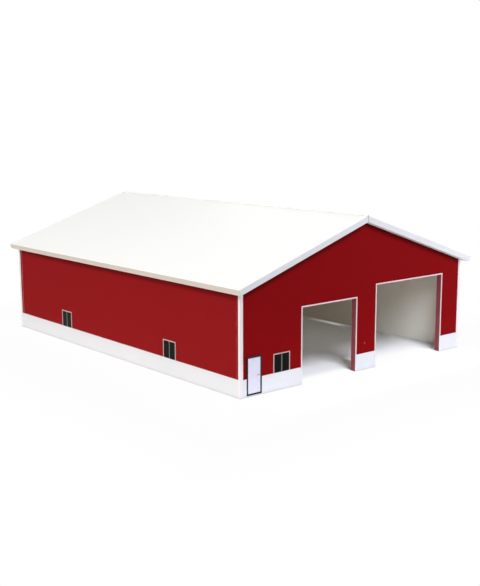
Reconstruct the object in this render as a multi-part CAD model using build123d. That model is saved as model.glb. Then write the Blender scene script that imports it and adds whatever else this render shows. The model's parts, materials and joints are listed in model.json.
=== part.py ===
from build123d import *
import math
import os

# Model of a farm machine shed with two open vehicle bays, in millimetres.
# X runs across the gable, Y from the front gable to the rear one, Z up.
# The origin is on the floor, at the middle of the building.

# Building
building_length = 381.0
eave_height = 89.5
roof_rise = 4.0
roof_run = 12.0
wall_board = 5.2

# Roof boards
roof_board = 5.2
eave_overhang = 7.2
gable_overhang = 7.2
lid_gap = 0.15

# Front gable from left to right, which adds up to the building's width
door_panel_width = 69.5
left_bay_width = 67.1
centre_pier = 27.0
right_bay_width = 93.6
corner_pier = 28.55
left_bay_height = 68.1
right_bay_height = 77.4

# Applied strips
strip_thickness = 0.5
foot_band_height = 15.5
corner_strip_width = 2.4
bay_strip_width = 1.2

# Walk door
door_setback = 6.3
door_sill = 1.0
door_width = 16.5
door_height = 33.1
door_frame_bar = 1.4
door_frame_thickness = 0.7
door_panel_thickness = 0.4
lever_height = 17.5
lever_backset = 1.1
lever_rose_radius = 0.7
lever_rose_thickness = 0.3
lever_length = 2.4
lever_bar = 0.6
lever_reach = 1.0

# Windows
window_width = 19.0
window_height = 16.8
window_frame_bar = 0.9
window_frame_thickness = 0.5
window_stile_width = 1.1
window_stile_thickness = 0.4
window_pane_thickness = 0.25
front_side_window_setback = 99.0
rear_side_window_setback = 101.0

# Ridge hinge
knuckle_radius = 1.0
leaf_thickness = 0.45
leaf_gap = 0.3
hinge_pin_radius = 0.5
hinge_pin_clearance = 0.05
hinge_knuckle_count = 31
knuckle_gap = 0.15
knuckle_relief = 0.2
leaf_margin = 0.3
hinge_setback = 0.1

# Nails
hinge_nail_count = 12
hinge_nail_radius = 0.35
hinge_nail_length = 4.5
hinge_nail_head_radius = 0.8
hinge_nail_head = 0.25
hinge_nail_stand = 0.05
hinge_nail_margin = 8.0
wall_nail_count = 4
wall_nail_radius = 0.4
wall_nail_length = 14.0
wall_nail_head_radius = 0.8
wall_nail_head = 0.3
wall_nail_inset = 1.5
wall_nail_margin = 12.0
nail_clearance = 0.03

# How far a cutting tool runs past the board it cuts
cut_overrun = 1.0

# Sizes that follow from the ones above
building_width = door_panel_width + left_bay_width + centre_pier + right_bay_width + corner_pier
half_width = building_width / 2
half_length = building_length / 2
slope = roof_rise / roof_run
pitch = math.atan(slope)
roof_board_plumb = roof_board / math.cos(pitch)
gable_apex = eave_height + slope * half_width
ridge_height = gable_apex + roof_board_plumb
roof_half_length = half_length + gable_overhang
eave_reach = half_width + eave_overhang
front_face = -half_length
left_bay_left = door_panel_width - half_width
left_bay_right = left_bay_left + left_bay_width
right_bay_left = left_bay_right + centre_pier
right_bay_right = right_bay_left + right_bay_width
door_left = door_setback - half_width
door_right = door_left + door_width
front_window_centre = (door_right + left_bay_left - bay_strip_width) / 2
corner_strip_inner = half_width - corner_strip_width
leaf_face = leaf_gap / 2
leaf_seat = leaf_face + leaf_thickness
leaf_reach = roof_board_plumb - leaf_margin
notch_reach = knuckle_radius + knuckle_relief
hinge_nail_drop = (notch_reach + leaf_reach) / 2
hinge_half_length = roof_half_length - hinge_setback


def block(low, high):
    """A box between two opposite corners."""
    size = [b - a for a, b in zip(low, high)]
    middle = [(a + b) / 2 for a, b in zip(low, high)]
    return Pos(*middle) * Box(*size)


def gable_prism(points, rear, front):
    """A section drawn in X and Z, carried along Y from the front value to the rear one."""
    face = Plane.XZ * make_face(Polyline(*points, close=True))
    return Pos(0, rear, 0) * extrude(face, amount=rear - front)


def spread(count, low, high):
    """Evenly spaced values from low to high."""
    step = (high - low) / (count - 1)
    return [low + step * index for index in range(count)]


def rod(radius, start, direction, length):
    """A round rod from a start point along a direction."""
    return Plane(origin=start, z_dir=direction) * Cylinder(
        radius, length, align=(Align.CENTER, Align.CENTER, Align.MIN))


def under_roof(x, side):
    """Height of the roof's lower face at x, less the gap under the opening half."""
    gap = lid_gap if side < 0 else 0
    return gable_apex - slope * abs(x) - gap


def room_under_roof():
    """Everything below the roof boards, out past the eaves."""
    points = [(-eave_reach, 0), (eave_reach, 0), (eave_reach, under_roof(eave_reach, 1)),
              (0, under_roof(0, 1)), (0, under_roof(0, -1)), (-eave_reach, under_roof(eave_reach, -1))]
    return gable_prism(points, roof_half_length, -roof_half_length)


def wall_nail_places(side):
    """Heights and X of the nails in one end of a side wall."""
    x = side * (half_width - wall_nail_inset)
    return [(x, z) for z in spread(wall_nail_count, wall_nail_margin, eave_height - wall_nail_margin)]


def wall_nail(x, z, end, clearance):
    """One nail driven through a gable wall into a side wall, or the hole for it."""
    face = end * half_length
    inward = (0, -end, 0)
    shank = rod(wall_nail_radius + clearance, (x, face, z), inward, wall_nail_length + clearance)
    head = rod(wall_nail_head_radius + clearance, (x, face, z), inward, wall_nail_head + clearance)
    return shank + head


def wall_nail_set(end, clearance=0):
    """All the nails of one gable, end is -1 at the front and 1 at the rear."""
    return [wall_nail(x, z, end, clearance) for side in (-1, 1) for x, z in wall_nail_places(side)]


def gable_wall(end):
    """A whole gable board at one end of the building, cut for its nails."""
    outer = end * half_length
    inner = end * (half_length - wall_board)
    slab = block((-half_width, min(outer, inner), 0), (half_width, max(outer, inner), ridge_height))
    return (slab & room_under_roof()) - wall_nail_set(end, nail_clearance)


def front_gable_wall():
    """The front board with its two bays."""
    wall = gable_wall(-1)
    for left, right, height in ((left_bay_left, left_bay_right, left_bay_height),
                                (right_bay_left, right_bay_right, right_bay_height)):
        low = (left, front_face - cut_overrun, -cut_overrun)
        high = (right, front_face + wall_board + cut_overrun, height)
        wall = wall - block(low, high)
    return wall


def side_wall(side):
    """A long board between the gables, cut for the nails in both ends."""
    outer = side * half_width
    inner = side * (half_width - wall_board)
    reach = half_length - wall_board
    slab = block((min(outer, inner), -reach, 0), (max(outer, inner), reach, ridge_height))
    return (slab & room_under_roof()) - wall_nail_set(-1, nail_clearance) - wall_nail_set(1, nail_clearance)


def roof_half(side):
    """A roof board, square at the eave, its plumb end rebated for the knuckles and drilled for the nails."""
    thick_x = roof_board * math.sin(pitch)
    thick_z = roof_board * math.cos(pitch)
    eave_top = ridge_height - slope * eave_reach
    ridge_top = ridge_height - slope * knuckle_radius
    rebate = ridge_height - notch_reach
    points = [(side * knuckle_radius, ridge_top), (side * eave_reach, eave_top),
              (side * (eave_reach - thick_x), eave_top - thick_z),
              (side * leaf_seat, ridge_height - slope * leaf_seat - roof_board_plumb),
              (side * leaf_seat, rebate), (side * knuckle_radius, rebate)]
    board = gable_prism(points, roof_half_length, -roof_half_length)
    return board - hinge_nail_shanks(side, nail_clearance)


def hinge_nail_rows():
    """Y of the nails in one leaf."""
    reach = hinge_half_length - hinge_nail_margin
    return spread(hinge_nail_count, -reach, reach)


def hinge_nail_shanks(side, clearance=0):
    """The shanks of one leaf's nails, or the holes for them, out from the leaf's inner face."""
    length = leaf_thickness + hinge_nail_length + clearance
    height = ridge_height - hinge_nail_drop
    return [rod(hinge_nail_radius + clearance, (side * leaf_face, y, height), (side, 0, 0), length)
            for y in hinge_nail_rows()]


def hinge_nail_heads(side, clearance=0):
    """The heads of one leaf's nails, or the sinks for them, standing a little out of the leaf."""
    start = side * (leaf_face - hinge_nail_stand)
    height = ridge_height - hinge_nail_drop
    radius = hinge_nail_head_radius + clearance
    depth = hinge_nail_head + clearance
    return [rod(radius, (start, y, height), (side, 0, 0), depth) for y in hinge_nail_rows()]


def hinge_nail_group(side):
    """The nails of one leaf."""
    return Compound(children=[shank + head for shank, head
                              in zip(hinge_nail_shanks(side), hinge_nail_heads(side))])


def knuckle_spans(first):
    """Start and end of every second knuckle along the hinge."""
    step = 2 * hinge_half_length / hinge_knuckle_count
    start = -hinge_half_length
    return [(start + step * index + knuckle_gap / 2, start + step * (index + 1) - knuckle_gap / 2)
            for index in range(first, hinge_knuckle_count, 2)]


def hinge_leaf(side, first):
    """A leaf with every second knuckle, its strip flat on the plumb end of its roof board."""
    outer = side * leaf_seat
    inner = side * leaf_face
    bore = hinge_pin_radius + hinge_pin_clearance
    leaf = block((min(outer, inner), -hinge_half_length, ridge_height - leaf_reach),
                 (max(outer, inner), hinge_half_length, ridge_height - notch_reach))
    for low, high in knuckle_spans(first):
        ring = rod(knuckle_radius, (0, low, ridge_height), (0, 1, 0), high - low)
        root = block((min(outer, inner), low, ridge_height - notch_reach),
                     (max(outer, inner), high, ridge_height - bore))
        leaf = leaf + ring + root
    leaf = leaf - rod(bore, (0, -hinge_half_length, ridge_height), (0, 1, 0), 2 * hinge_half_length)
    return leaf - hinge_nail_shanks(side, nail_clearance) - hinge_nail_heads(side, nail_clearance)


def hinge_pin():
    """The pin, as long as the row of knuckles."""
    reach = hinge_half_length - knuckle_gap / 2
    return rod(hinge_pin_radius, (0, -reach, ridge_height), (0, 1, 0), 2 * reach)


def front_strip(left, right, low, high, thickness=strip_thickness):
    """A strip on the front face between two X and two Z values."""
    return block((left, front_face - thickness, low), (right, front_face, high))


def side_strip(side, front, rear, low, high, thickness=strip_thickness):
    """A strip on the outside of a side wall between two Y and two Z values."""
    inner = side * half_width
    outer = side * (half_width + thickness)
    return block((min(inner, outer), front, low), (max(inner, outer), rear, high))


def corner_strip(side, end):
    """An angle strip around one corner, up to the roof."""
    corner = (side * (half_width + strip_thickness), end * (half_length + strip_thickness))
    inside = (side * corner_strip_inner, end * (half_length - corner_strip_width))
    low = [min(a, b) for a, b in zip(corner, inside)]
    high = [max(a, b) for a, b in zip(corner, inside)]
    full = block((low[0], low[1], 0), (high[0], high[1], ridge_height))
    core = block((-half_width, -half_length, 0), (half_width, half_length, ridge_height))
    return (full - core) & room_under_roof()


def front_left_band():
    """The band from the corner to the left bay, notched around the walk door."""
    band = front_strip(-corner_strip_inner, left_bay_left, 0, foot_band_height)
    return band - front_strip(door_left, door_right, door_sill, foot_band_height + cut_overrun)


def foot_bands():
    """The bands along the foot of the walls, by name."""
    side_reach = half_length - corner_strip_width
    rear = block((-corner_strip_inner, half_length, 0),
                 (corner_strip_inner, half_length + strip_thickness, foot_band_height))
    return {
        "foot_band_left": side_strip(-1, -side_reach, side_reach, 0, foot_band_height),
        "foot_band_right": side_strip(1, -side_reach, side_reach, 0, foot_band_height),
        "foot_band_rear": rear,
        "foot_band_front_left": front_left_band(),
        "foot_band_front_pier": front_strip(left_bay_right, right_bay_left, 0, foot_band_height),
        "foot_band_front_right": front_strip(right_bay_right, corner_strip_inner, 0, foot_band_height),
    }


def bay_strips(name, left, right, height):
    """The three strips around one bay, by name."""
    top = height + bay_strip_width
    return {
        name + "_strip_left": front_strip(left - bay_strip_width, left, foot_band_height, height),
        name + "_strip_right": front_strip(right, right + bay_strip_width, foot_band_height, height),
        name + "_strip_head": front_strip(left - bay_strip_width, right + bay_strip_width, height, top),
    }


def walk_door():
    """The frame, panel and lever of the walk door, by name."""
    top = door_sill + door_height
    bar = door_frame_bar
    whole = front_strip(door_left, door_right, door_sill, top, door_frame_thickness)
    inside = front_strip(door_left + bar, door_right - bar, door_sill + bar, top - bar, door_frame_thickness)
    panel = front_strip(door_left + bar, door_right - bar, door_sill + bar, top - bar, door_panel_thickness)
    rose_x = door_right - bar - lever_backset - lever_rose_radius
    panel_face = front_face - door_panel_thickness
    rose = rod(lever_rose_radius, (rose_x, panel_face, lever_height), (0, -1, 0), lever_rose_thickness)
    neck = rod(lever_bar / 2, (rose_x, panel_face, lever_height), (0, -1, 0), lever_reach)
    bar_low = (rose_x - lever_length + lever_bar / 2, panel_face - lever_reach, lever_height - lever_bar / 2)
    bar_high = (rose_x + lever_bar / 2, panel_face - lever_reach + lever_bar, lever_height + lever_bar / 2)
    return {
        "walk_door_frame": whole - inside,
        "walk_door_panel": panel,
        "walk_door_lever": rose + neck + block(bar_low, bar_high),
    }


def window(name, place):
    """A window on the foot band. place puts a strip between two widths and two heights."""
    half = window_width / 2
    low = foot_band_height
    high = low + window_height
    bar = window_frame_bar
    stile = window_stile_width / 2
    whole = place(-half, half, low, high, window_frame_thickness)
    inside = place(-half + bar, half - bar, low, high - bar, window_frame_thickness)
    panes = [place(-half + bar, -stile, low, high - bar, window_pane_thickness),
             place(stile, half - bar, low, high - bar, window_pane_thickness)]
    return {
        name + "_frame": whole - inside,
        name + "_stile": place(-stile, stile, low, high - bar, window_stile_thickness),
        name + "_panes": Compound(children=panes),
    }


def front_window_place(a, b, low, high, thickness):
    """A strip of the front window."""
    return front_strip(front_window_centre + a, front_window_centre + b, low, high, thickness)


def side_window_place(side, centre):
    """What puts a strip of a side window around its centre."""
    def place(a, b, low, high, thickness):
        return side_strip(side, centre + a, centre + b, low, high, thickness)
    return place


def windows():
    """All the windows, by name."""
    pieces = window("front_window", front_window_place)
    front_centre = front_side_window_setback - half_length
    rear_centre = half_length - rear_side_window_setback
    for side_name, side in (("left", -1), ("right", 1)):
        for end_name, centre in (("front", front_centre), ("rear", rear_centre)):
            name = "window_" + side_name + "_" + end_name
            pieces.update(window(name, side_window_place(side, centre)))
    return pieces


def corner_strips():
    """The four corner strips, by name."""
    return {"corner_strip_" + end_name + "_" + side_name: corner_strip(side, end)
            for end_name, end in (("front", -1), ("rear", 1))
            for side_name, side in (("left", -1), ("right", 1))}


def model():
    """Every piece of the shed, by name."""
    pieces = {
        "front_gable_wall": front_gable_wall(),
        "rear_gable_wall": gable_wall(1),
        "left_side_wall": side_wall(-1),
        "right_side_wall": side_wall(1),
        "roof_board_left": roof_half(-1),
        "roof_board_right": roof_half(1),
        "hinge_leaf_fixed": hinge_leaf(1, 0),
        "hinge_leaf_moving": hinge_leaf(-1, 1),
        "hinge_pin": hinge_pin(),
        "hinge_nails_fixed": hinge_nail_group(1),
        "hinge_nails_moving": hinge_nail_group(-1),
        "wall_nails_front": Compound(children=wall_nail_set(-1)),
        "wall_nails_rear": Compound(children=wall_nail_set(1)),
    }
    pieces.update(foot_bands())
    pieces.update(corner_strips())
    pieces.update(bay_strips("left_bay", left_bay_left, left_bay_right, left_bay_height))
    pieces.update(bay_strips("right_bay", right_bay_left, right_bay_right, right_bay_height))
    pieces.update(walk_door())
    pieces.update(windows())
    return pieces


os.makedirs("parts", exist_ok=True)
for node, piece in model().items():
    export_step(piece, "parts/" + node + ".step")
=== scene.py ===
import json
import math

import bmesh
import bpy
from mathutils import Matrix, Vector


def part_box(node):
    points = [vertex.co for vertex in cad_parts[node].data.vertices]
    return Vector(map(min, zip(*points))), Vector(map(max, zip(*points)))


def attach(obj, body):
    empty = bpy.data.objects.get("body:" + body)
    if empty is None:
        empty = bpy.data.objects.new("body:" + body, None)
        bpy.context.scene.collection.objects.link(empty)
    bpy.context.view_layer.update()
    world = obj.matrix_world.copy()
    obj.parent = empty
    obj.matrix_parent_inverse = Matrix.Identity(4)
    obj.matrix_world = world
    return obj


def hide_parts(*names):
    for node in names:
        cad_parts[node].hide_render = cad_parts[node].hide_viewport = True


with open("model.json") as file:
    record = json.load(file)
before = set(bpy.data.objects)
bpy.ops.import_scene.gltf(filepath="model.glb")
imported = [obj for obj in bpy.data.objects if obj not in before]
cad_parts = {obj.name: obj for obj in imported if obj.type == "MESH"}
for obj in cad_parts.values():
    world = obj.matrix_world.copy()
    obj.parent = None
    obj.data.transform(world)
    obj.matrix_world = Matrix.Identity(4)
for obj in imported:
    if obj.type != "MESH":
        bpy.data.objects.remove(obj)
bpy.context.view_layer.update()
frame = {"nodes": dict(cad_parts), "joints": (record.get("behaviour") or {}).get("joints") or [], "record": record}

bl_info = {
    "name": "Machine shed model",
    "version": (1, 0, 0),
    "blender": (4, 5, 0),
    "location": "3D View > Sidebar > Machine shed",
    "description": "Eased boards, trim, hinge, nails and finishes for a model machine shed, in a studio",
    "category": "Object",
}

MM = 0.001
MERGE_DISTANCE = MM / 500
ROOF_SLOPE = 4 / 12
NODES = frame["nodes"]
BODY_OF_NODE = {
    node: body
    for body, members in frame["record"]["behaviour"]["bodies"].items()
    for node in members
}
RIDGE_Z = frame["joints"][0]["pos_m"][2]


# Values that a user may change

def length_value(description, millimetres):
    """A length, given in millimetres."""
    return bpy.props.FloatProperty(
        description=description, default=millimetres * MM, min=0.0, precision=5,
        subtype="DISTANCE", unit="LENGTH")


def place_value(description, *place):
    """A place."""
    return bpy.props.FloatVectorProperty(
        description=description, default=place, size=3, precision=5, subtype="XYZ", unit="LENGTH")


def angle_value(description, degrees):
    """An angle, given in degrees."""
    return bpy.props.FloatProperty(
        description=description, default=math.radians(degrees), subtype="ANGLE", unit="ROTATION")


def count_value(description, count, fewest):
    """A number of things."""
    return bpy.props.IntProperty(description=description, default=count, min=fewest)


def share_value(description, default, highest=1.0):
    """A plain number from nothing to a highest value."""
    return bpy.props.FloatProperty(
        description=description, default=default, min=0.0, max=highest, subtype="FACTOR")


def power_value(description, watts):
    """The power of a lamp."""
    return bpy.props.FloatProperty(
        description=description, default=watts, min=0.0, precision=4, unit="POWER")


def display_colour(levels):
    """Levels of a screen, 0 to 255, in the linear values that Blender works in (sRGB formula)."""
    shares = [level / 255 for level in levels]
    return tuple(s / 12.92 if s <= 0.04045 else ((s + 0.055) / 1.055) ** 2.4 for s in shares)


def colour_value(description, *levels):
    """A colour, given as it shows on a screen."""
    return bpy.props.FloatVectorProperty(
        description=description, default=display_colour(levels), min=0.0, max=1.0, size=3,
        subtype="COLOR")


def named(settings):
    """Names every value of a class after its key."""
    for key, value in settings.__annotations__.items():
        value.keywords["name"] = key.replace("_", " ").capitalize()
    return settings


@named
class ShedSizes(bpy.types.PropertyGroup):
    """Small sizes that the looks add to the frame."""
    board_ease: length_value("Radius sanded on the arrises of walls and roof", 0.3)
    strip_ease: length_value("Radius on the arrises of bands and strips", 0.09)
    small_ease: length_value("Radius on the arrises of the door and the windows", 0.06)
    # The next two set the painted shade on the walls under the roof: how far down it reaches, and how much further
    # under the left slope
    dirt_reach: length_value("How far down the walls the dirt under the roof reaches", 5.0)
    dirt_left_extra: length_value("How much further down it reaches under the left slope", 3.7)
    leaf_thickness: length_value("Sheet of the ridge hinge", 0.45)
    knuckle_relief: length_value("Room between a knuckle and the leaf's flat part", 0.2)
    knuckle_gap: length_value("Room between neighbouring knuckles", 0.15)
    leaf_gap: length_value("Room between the two leaves when the roof is shut", 0.3)
    knuckle_count: count_value("Knuckles along the ridge, shared by both leaves", 31, 3)
    knuckle_seam: angle_value("Turn left open where the rolled sheet ends", 14)
    nail_head_radius: length_value("Head of a nail", 0.8)
    nail_radius: length_value("Shank of a hinge nail", 0.35)
    wall_nail_radius: length_value("Shank of a wall nail", 0.4)
    hinge_nail_rise: length_value("Height of a hinge nail's head", 0.24)
    wall_nail_rise: length_value("Height of a wall nail's head", 0.3)
    hinge_nail_count: count_value("Nails in one hinge leaf", 12, 2)
    wall_nail_count: count_value("Nails up one corner of the shed", 4, 2)
    lever_bar: length_value("Thickness of the door lever", 0.6)
    chip_radius: length_value("Small chip in the paint between the bays", 0.9)
    chip_place: place_value("Where that chip is", 0.006, -0.1905, 0.0249)


@named
class ShedColours(bpy.types.PropertyGroup):
    """Colours of the finishes, as they show under plain white light."""
    # The gables and the long walls carry one red paint in two copies: the gable copy is darker as painted shade,
    # and the copy on the long walls is greyer as a painted sheen
    gable_red: colour_value("Matt paint outside on the gables", 141, 12, 16)
    side_red: colour_value("Matt paint outside on the long walls", 150, 26, 29)
    worn_red: colour_value("Paint rubbed thin on an arris", 176, 66, 62)
    chipped_red: colour_value("Where a chip has come off", 168, 76, 70)
    cut_edge: colour_value("Stained cut edge of a wall board", 175, 88, 94)
    wall_inside: colour_value("Matt white inside", 240, 231, 214)
    roof_white: colour_value("Satin paint on the roof", 250, 250, 248)
    roof_edge: colour_value("Paint on the roof boards' edges over the gables", 244, 242, 243)
    # The eave copy of the roof's edge paint is warmer and darker: partly yellowed paint and partly painted shade
    roof_eave: colour_value("The same along the eaves, a little yellowed", 237, 225, 213)
    band_white: colour_value("Plastic band along the foot", 239, 240, 243)
    corner_white: colour_value("Strips on the corners", 249, 243, 246)
    trim_white: colour_value("Strips around the bays", 250, 222, 224)
    enamel_white: colour_value("Hinge enamel", 249, 249, 245)
    door_white: colour_value("Walk door panel", 236, 234, 248)
    frame_black: colour_value("Walk door frame", 20, 22, 34)
    frame_white: colour_value("Window frames", 208, 177, 173)
    stile_grey: colour_value("Meeting stiles of the windows", 112, 113, 106)
    pane_dark: colour_value("Window panes", 15, 17, 14)
    lever_grey: colour_value("Lacquer on the door lever", 182, 176, 180)
    steel: colour_value("Hinge pin and wall nails", 178, 178, 180)
    brass: colour_value("Hinge nails", 204, 172, 106)
    dust: colour_value("Dust near the floor", 214, 208, 198)
    floor: colour_value("Paper that the model stands on", 248, 248, 248)
    floor_around: colour_value("The paper further out, toned down to spare the walls", 200, 200, 200)
    # Painted contact shadow: the paper is darkened in the last millimetre before the walls
    floor_contact: colour_value("The paper in the last millimetre before the walls", 172, 172, 171)


@named
class ShedStudio(bpy.types.PropertyGroup):
    """Camera and lights."""
    camera_place: place_value("Where the camera stands", -0.636367, -0.778667, 0.2256)
    camera_heading: angle_value("Turn to the right of the long axis", 39.981)
    camera_tilt: angle_value("Tilt below the horizon", 10.103)
    camera_roll: angle_value("Turn about the line of sight", -0.159)
    focal_length: bpy.props.FloatProperty(
        description="Lens in millimetres on a 36 mm frame", default=59.197, min=1.0)
    sky_strength: share_value("Even light from all round", 0.2, 2.0)
    contact_lift: share_value("How far the floor at the walls' foot is lifted to white", 0.35)
    # In the bays' mouths this lift is painted light on the floor inside the shed
    near_lift: share_value("The same a few millimetres out, and in the mouths of the bays", 0.95)
    foot_light: share_value("Streak of light on the floor along the right wall, inside", 0.36)
    foot_shade: share_value("Shade on the floor along the right wall in the right bay", 0.6)
    # How far the painted light on the floor runs into each bay
    left_bay_reach: length_value("How far into the left bay the lifted floor runs", 26)
    right_bay_reach: length_value("The same in the right bay", 50)
    front_paper: length_value("Reach of the inner sheet in front of the model", 60)
    cool_light: colour_value("Tint of the lamps in front", 239, 243, 255)
    warm_light: colour_value("Tint of the lamps at the left", 255, 253, 248)
    inside_light: colour_value("Tint of the lamp under the roof", 255, 240, 208)
    bay_light: colour_value("Tint of the lamp for the right wall", 216, 232, 255)
    top_power: power_value("Softbox overhead", 4.0)
    key_power: power_value("Softbox high in front, left of the long axis", 5.6)
    floor_power: power_value("Softbox at the key's place for the inner sheet alone", 19.0)
    front_power: power_value("Low softbox in front", 1.3)
    left_power: power_value("Low softbox at the left side", 3.1)
    high_left_power: power_value("Softbox above the left eave", 11.9)
    near_power: power_value("Small softbox off the front's right end, for all but the floor", 1.4)
    back_power: power_value("Softbox behind the model, off its right rear corner", 7.0)
    inside_power: power_value("Lamp under the roof", 0.0108)
    bay_power: power_value("Softbox in front for the right wall alone, through the bays", 10.2)


# Nodes of shaders and of modifiers

FLOAT = "NodeSocketFloat"
INTEGER = "NodeSocketInt"
VECTOR = "NodeSocketVector"
COLOUR = "NodeSocketColor"
GEOMETRY = "NodeSocketGeometry"
MATERIAL = "NodeSocketMaterial"


def give(tree, socket, value):
    """Joins an output to an input, or sets the input's own value. A colour gets its alpha."""
    if isinstance(value, bpy.types.NodeSocket):
        tree.links.new(value, socket)
    elif socket.type == "RGBA":
        socket.default_value = (*value[:3], 1.0)
    else:
        socket.default_value = value


def add_node(tree, kind, inputs=None, **settings):
    """One node with its settings, and its inputs as values or as outputs to join."""
    node = tree.nodes.new(kind)
    for name, value in settings.items():
        setattr(node, name, value)
    for key, value in (inputs or {}).items():
        give(tree, node.inputs[key], value)
    return node


def maths(tree, operation, first, second=0.0, clamp=False):
    """The result of one sum."""
    node = add_node(tree, "ShaderNodeMath", {0: first, 1: second}, operation=operation, use_clamp=clamp)
    return node.outputs["Value"]


def times(tree, product, *values):
    """The product of some values."""
    for value in values:
        product = maths(tree, "MULTIPLY", product, value)
    return product


def ramp(tree, value, from_low, from_high, to_low=0.0, to_high=1.0, smooth=False):
    """A value moved from one range to another."""
    node = add_node(tree, "ShaderNodeMapRange", {
        "Value": value, "From Min": from_low, "From Max": from_high, "To Min": to_low, "To Max": to_high,
    }, interpolation_type="SMOOTHSTEP" if smooth else "LINEAR")
    return node.outputs["Result"]


def noise(tree, vector, scale, detail=3.0, roughness=0.55):
    """Soft noise from 0 to 1 around a half."""
    node = add_node(tree, "ShaderNodeTexNoise", {
        "Vector": vector, "Scale": scale, "Detail": detail, "Roughness": roughness})
    return node.outputs["Fac"]


def split_place(tree, place):
    """The X, Y and Z of a place."""
    return add_node(tree, "ShaderNodeSeparateXYZ", {0: place}).outputs


TREES = {}


def filled_by(kind, name, inputs, outputs):
    """Keeps a function that fills a tree. Sockets are given by name, type and maybe default."""
    def keep(fill):
        TREES[name] = kind, inputs, outputs, fill
        return fill
    return keep


def shared_tree(name):
    """A node group by name, built the first time that it is asked for."""
    tree = bpy.data.node_groups.get(name)
    if not tree:
        kind, inputs, outputs, fill = TREES[name]
        tree = bpy.data.node_groups.new(name, kind)
        for direction, sockets in (("INPUT", inputs), ("OUTPUT", outputs)):
            for socket_name, socket_type, *default in sockets:
                socket = tree.interface.new_socket(socket_name, in_out=direction, socket_type=socket_type)
                if default:
                    socket.default_value = default[0]
        made = fill(tree, tree.nodes.new("NodeGroupInput").outputs)
        add_node(tree, "NodeGroupOutput", made)
    return tree


@filled_by(
    "ShaderNodeTree", "slow tone",
    [("Vector", VECTOR), ("Colour", COLOUR), ("Patch Size", FLOAT, 0.04), ("Amount", FLOAT, 0.05)],
    [("Colour", COLOUR), ("Tone", FLOAT)])
def fill_tone(tree, given):
    """Slow changes of tone over a surface."""
    scale = maths(tree, "DIVIDE", 1.0, given["Patch Size"])
    broad = noise(tree, given["Vector"], scale)
    swing = times(tree, maths(tree, "SUBTRACT", broad, 0.5), given["Amount"], 2.0)
    toned = add_node(tree, "ShaderNodeVectorMath", {
        0: given["Colour"], "Scale": maths(tree, "ADD", swing, 1.0)}, operation="SCALE")
    return {"Colour": toned.outputs["Vector"], "Tone": broad}


@filled_by(
    "ShaderNodeTree", "surface peel",
    [("Vector", VECTOR), ("Grain Size", FLOAT, 0.0012), ("Coarse Share", FLOAT, 0.4)],
    [("Height", FLOAT)])
def fill_peel(tree, given):
    """Fine bumps left by a brush, roller or mould."""
    fine_scale = maths(tree, "DIVIDE", 1.0, given["Grain Size"])
    fine = noise(tree, given["Vector"], fine_scale, detail=2.0)
    coarse = noise(tree, given["Vector"], times(tree, fine_scale, 0.2), detail=2.0)
    height = add_node(tree, "ShaderNodeMix", {
        0: given["Coarse Share"], 2: fine, 3: coarse}, data_type="FLOAT")
    return {"Height": height.outputs[0]}


@filled_by(
    "ShaderNodeTree", "board fibres",
    [("Vector", VECTOR), ("Fibre Width", FLOAT, 0.0004), ("Stretch", VECTOR, (1.0, 1.0, 1.0))],
    [("Streak", FLOAT), ("Height", FLOAT)])
def fill_fibres(tree, given):
    """Pressed fibres that show on the cut edge of a board."""
    stretched = add_node(tree, "ShaderNodeVectorMath", {
        0: given["Vector"], 1: given["Stretch"]}, operation="MULTIPLY").outputs["Vector"]
    scale = maths(tree, "DIVIDE", 1.0, given["Fibre Width"])
    streak = noise(tree, stretched, scale, detail=4.0, roughness=0.7)
    return {"Streak": ramp(tree, streak, 0.35, 0.65, smooth=True), "Height": streak}


@filled_by(
    "ShaderNodeTree", "arris wear",
    [("Vector", VECTOR), ("Patch Size", FLOAT, 0.006), ("Amount", FLOAT, 0.5)],
    [("Mask", FLOAT)])
def fill_wear(tree, given):
    """Where an eased arris is rubbed, from the mark that the easing leaves on its faces."""
    highest, span, sharpness = 0.85, 0.6, 8.0
    scale = maths(tree, "DIVIDE", 1.0, given["Patch Size"])
    patches = noise(tree, given["Vector"], scale, detail=5.0, roughness=0.7)
    threshold = maths(tree, "SUBTRACT", highest, times(tree, given["Amount"], span))
    above = maths(tree, "SUBTRACT", patches, threshold)
    rubbed = maths(tree, "MULTIPLY", above, sharpness, clamp=True)
    arris = add_node(tree, "ShaderNodeAttribute", attribute_name="arris").outputs["Fac"]
    return {"Mask": maths(tree, "MULTIPLY", rubbed, arris, clamp=True)}


@filled_by(
    "ShaderNodeTree", "foot dust",
    [("Vector", VECTOR), ("Height", FLOAT, 0.004), ("Amount", FLOAT, 0.3)],
    [("Mask", FLOAT)])
def fill_dust(tree, given):
    """Dust that gathers just above the floor."""
    near = ramp(tree, split_place(tree, given["Vector"])["Z"], given["Height"], 0.0, smooth=True)
    broken = noise(tree, given["Vector"], scale=260.0, detail=4.0, roughness=0.65)
    share = times(tree, near, ramp(tree, broken, 0.35, 0.7, 0.2, 1.0))
    return {"Mask": maths(tree, "MULTIPLY", share, given["Amount"], clamp=True)}


def rows_of(tree, instance, count, start, step):
    """Copies of a geometry at points in a row."""
    points = add_node(tree, "GeometryNodeMeshLine", {
        "Count": count, "Start Location": start, "Offset": step}, mode="OFFSET")
    copies = add_node(tree, "GeometryNodeInstanceOnPoints", {
        "Points": points.outputs["Mesh"], "Instance": instance})
    return copies.outputs["Instances"]


def made_real(tree, copies, material):
    """The end of a modifier's tree: its copies as a plain mesh with their material."""
    tree.is_modifier = True
    whole = add_node(tree, "GeometryNodeRealizeInstances", {"Geometry": copies})
    finished = add_node(tree, "GeometryNodeSetMaterial", {
        "Geometry": whole.outputs["Geometry"], "Material": material})
    return {"Geometry": finished.outputs["Geometry"]}


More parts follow.
